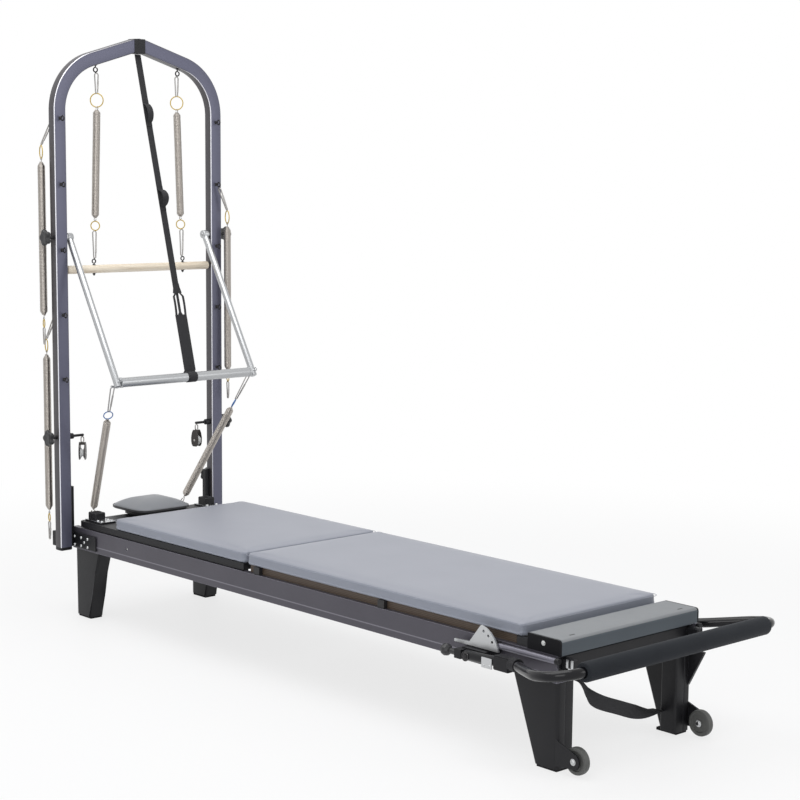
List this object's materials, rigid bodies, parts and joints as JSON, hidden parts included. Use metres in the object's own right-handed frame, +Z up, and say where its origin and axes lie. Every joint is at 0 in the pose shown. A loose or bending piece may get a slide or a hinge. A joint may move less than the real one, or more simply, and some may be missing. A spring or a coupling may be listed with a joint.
{
  "type": "pilates reformer with tower",
  "caption": "Pilates reformer with an arched tower, roll-down bar, push-through bar, hanging springs and pulleys, sliding carriage, filler mat and hinged footbar.",
  "frame": {"origin": "on the floor, below the middle of the overall box", "axes": "+X from the tower end to the footbar end, along the rails; +Z up; the side nearest the picture's viewer is -Y"},
  "size_m": [2.7878, 0.994, 2.1743],
  "materials": {
    "anodised": "satin, purple-grey anodised",
    "black_steel": "black powder coat",
    "black_plastic": "moulded black",
    "silver": "bright satin",
    "zinc": "bright plated",
    "nickel": "warm nickel spring wire",
    "vinyl": "blue-grey upholstery vinyl",
    "dark_vinyl": "dark grey upholstery vinyl",
    "plywood": "dark stained edge",
    "maple": "clear lacquer",
    "tread": "grey tread",
    "foam": "black foam",
    "webbing": "woven black",
    "deck": "grey grip top"
  },
  "bodies": {
    "frame": {"rail_near": "anodised", "rail_far": "anodised", "head_end_beam": "black_steel", "foot_end_beam": "black_steel", "head_leg_near": "black_steel", "head_leg_far": "black_steel", "foot_leg_near": "black_steel", "foot_leg_far": "black_steel", "corner_bracket_near": "black_steel", "corner_bracket_far": "black_steel", "tower_frame": "anodised", "standing_platform": "deck", "platform_cap_near": "black_plastic", "platform_cap_far": "black_plastic", "spring_bar": "nickel", "footbar_bracket_near": "zinc", "footbar_bracket_far": "zinc", "quadrant_plate": "zinc", "pulley_arm_near": "black_steel", "pulley_arm_far": "black_steel", "safety_strap": "webbing", "carry_strap": "webbing"},
    "transport_wheel_near": {"transport_wheel_near": "tread"},
    "transport_wheel_far": {"transport_wheel_far": "tread"},
    "footbar": {"footbar_tube": "black_steel", "footbar_grip": "foam"},
    "lock_pin": {"lock_pin": "black_plastic"},
    "rolldown_hanger": {"rolldown_spring_near": "nickel", "rolldown_spring_far": "nickel"},
    "rolldown_handle": {"rolldown_link_near": "nickel", "rolldown_link_far": "nickel", "rolldown_bar": "maple"},
    "stored_spring_upper": {"stored_spring_upper": "nickel"},
    "stored_spring_lower": {"stored_spring_lower": "nickel"},
    "stored_spring_far": {"stored_spring_far": "nickel"},
    "push_through_bar": {"ptb_arm_near": "silver", "ptb_arm_far": "silver", "ptb_crossbar": "silver"},
    "ptb_springs": {"ptb_spring_near": "nickel", "ptb_spring_far": "nickel"},
    "ptb_clips": {"ptb_clip_near": "nickel", "ptb_clip_far": "nickel"},
    "carriage": {"carriage_frame": "black_steel", "carriage_pad": "vinyl"},
    "load_wheels_head": {"load_wheels_head": "tread"},
    "load_wheels_foot": {"load_wheels_foot": "tread"},
    "headrest": {"headrest_board": "black_plastic", "headrest_cushion": "dark_vinyl"},
    "mat": {"mat_board": "plywood", "mat_pad": "vinyl"},
    "ptb_knob_near": {"ptb_knob_near": "black_plastic"},
    "ptb_knob_far": {"ptb_knob_far": "black_plastic"},
    "riser_knob_near": {"riser_knob_near": "black_plastic"},
    "riser_knob_far": {"riser_knob_far": "black_plastic"},
    "base_knob_near": {"base_knob_near": "black_plastic"},
    "base_knob_far": {"base_knob_far": "black_plastic"},
    "pulley_near": {"pulley_near": "black_steel"},
    "pulley_far": {"pulley_far": "black_steel"},
    "sheave_near": {"sheave_near": "silver"},
    "sheave_far": {"sheave_far": "silver"}
  },
  "joints": [
    {"name": "carriage_slide", "type": "slide", "parent": "frame", "child": "carriage", "axis": [1, 0, 0], "range_m": [0, 0.9]},
    {"name": "mat_lift", "type": "slide", "parent": "frame", "child": "mat", "axis": [0.7071, 0, 0.7071], "range_m": [0, 1.2729]},
    {"name": "load_wheels_head_roll", "type": "hinge", "parent": "carriage", "child": "load_wheels_head", "pos_m": [-1.16361, 0, 0.2998], "axis": [0, 1, 0], "continuous": true},
    {"name": "load_wheels_foot_roll", "type": "hinge", "parent": "carriage", "child": "load_wheels_foot", "pos_m": [-0.37361, 0, 0.2998], "axis": [0, 1, 0], "continuous": true},
    {"name": "headrest_tilt", "type": "hinge", "parent": "carriage", "child": "headrest", "pos_m": [-1.07761, 0, 0.378], "axis": [0, 1, 0], "range_deg": [0, 30]},
    {"name": "footbar_pivot", "type": "hinge", "parent": "frame", "child": "footbar", "pos_m": [0.88139, 0, 0.298], "axis": [0, -1, 0], "range_deg": [0, 100]},
    {"name": "lock_pin_pull", "type": "slide", "parent": "frame", "child": "lock_pin", "axis": [-1, 0, 0], "range_m": [0, 0.01], "stiffness_N_per_m": 300, "springref_m": -0.004},
    {"name": "transport_wheel_near_roll", "type": "hinge", "parent": "frame", "child": "transport_wheel_near", "pos_m": [1.23639, -0.278, 0.047], "axis": [0, 1, 0], "continuous": true},
    {"name": "transport_wheel_far_roll", "type": "hinge", "parent": "frame", "child": "transport_wheel_far", "pos_m": [1.23639, 0.278, 0.047], "axis": [0, 1, 0], "continuous": true},
    {"name": "rolldown_swing", "type": "hinge", "parent": "frame", "child": "rolldown_hanger", "pos_m": [-1.31361, 0, 2.0513], "axis": [0, 1, 0], "range_deg": [-2.5, 40]},
    {"name": "rolldown_stretch", "type": "slide", "parent": "rolldown_hanger", "child": "rolldown_handle", "axis": [0, 0, -1], "range_m": [0, 0.3], "stiffness_N_per_m": 150, "springref_m": -0.1, "deforming": ["rolldown_spring_near", "rolldown_spring_far"]},
    {"name": "stored_spring_upper_swing", "type": "hinge", "parent": "frame", "child": "stored_spring_upper", "pos_m": [-1.35161, 0, 1.87], "axis": [0, 1, 0], "range_deg": [0, 50]},
    {"name": "stored_spring_lower_swing", "type": "hinge", "parent": "frame", "child": "stored_spring_lower", "pos_m": [-1.35161, 0, 1.15], "axis": [0, 1, 0], "range_deg": [0, 50]},
    {"name": "stored_spring_far_swing", "type": "hinge", "parent": "frame", "child": "stored_spring_far", "pos_m": [-1.27561, 0, 1.63], "axis": [0, -1, 0], "range_deg": [0, 50]},
    {"name": "ptb_swing", "type": "hinge", "parent": "frame", "child": "push_through_bar", "pos_m": [-1.31361, 0, 1.436], "axis": [0, -1, 0], "range_deg": [0, 60], "deforming": ["safety_strap"]},
    {"name": "ptb_spring_lean", "type": "hinge", "parent": "frame", "child": "ptb_springs", "pos_m": [-1.35361, 0, 0.352], "axis": [0, 1, 0], "range_deg": [0, 1.09]},
    {"name": "ptb_spring_stretch", "type": "slide", "parent": "ptb_springs", "child": "ptb_clips", "axis": [0.4983, 0, 0.867], "range_m": [0, 0.60134], "deforming": ["ptb_spring_near", "ptb_spring_far"]},
    {"name": "ptb_knob_near_turn", "type": "hinge", "parent": "frame", "child": "ptb_knob_near", "pos_m": [-1.31361, -0.3783, 1.436], "axis": [0, 1, 0], "continuous": true},
    {"name": "ptb_knob_far_turn", "type": "hinge", "parent": "frame", "child": "ptb_knob_far", "pos_m": [-1.31361, 0.3783, 1.436], "axis": [0, 1, 0], "continuous": true},
    {"name": "riser_knob_near_turn", "type": "hinge", "parent": "frame", "child": "riser_knob_near", "pos_m": [-1.31361, -0.3783, 0.692], "axis": [0, 1, 0], "continuous": true},
    {"name": "riser_knob_far_turn", "type": "hinge", "parent": "frame", "child": "riser_knob_far", "pos_m": [-1.31361, 0.3783, 0.692], "axis": [0, 1, 0], "continuous": true},
    {"name": "base_knob_near_turn", "type": "hinge", "parent": "frame", "child": "base_knob_near", "pos_m": [-1.33391, -0.338, 0.474], "axis": [1, 0, 0], "continuous": true},
    {"name": "base_knob_far_turn", "type": "hinge", "parent": "frame", "child": "base_knob_far", "pos_m": [-1.33391, 0.338, 0.474], "axis": [1, 0, 0], "continuous": true},
    {"name": "pulley_near_swing", "type": "hinge", "parent": "frame", "child": "pulley_near", "pos_m": [-1.31361, -0.265, 0.692], "axis": [0, 1, 0], "range_deg": [-60, 60]},
    {"name": "sheave_near_spin", "type": "hinge", "parent": "pulley_near", "child": "sheave_near", "pos_m": [-1.31361, -0.265, 0.6232], "axis": [0.7071, 0.7071, 0], "continuous": true},
    {"name": "pulley_far_swing", "type": "hinge", "parent": "frame", "child": "pulley_far", "pos_m": [-1.31361, 0.265, 0.692], "axis": [0, 1, 0], "range_deg": [-60, 60]},
    {"name": "sheave_far_spin", "type": "hinge", "parent": "pulley_far", "child": "sheave_far", "pos_m": [-1.31361, 0.265, 0.6232], "axis": [-0.1736, 0.9848, 0], "continuous": true}
  ],
  "couplings": [
    {"joint": "mat_lift", "follows": "carriage_slide", "ratio": 1.4142},
    {"joint": "load_wheels_head_roll", "follows": "carriage_slide", "rad_per_m": 34.483},
    {"joint": "load_wheels_foot_roll", "follows": "carriage_slide", "rad_per_m": 34.483},
    {"joint": "ptb_spring_lean", "follows": "ptb_swing", "ratio": 0.01775},
    {"joint": "ptb_spring_stretch", "follows": "ptb_swing", "m_per_rad": 0.5731}
  ]
}
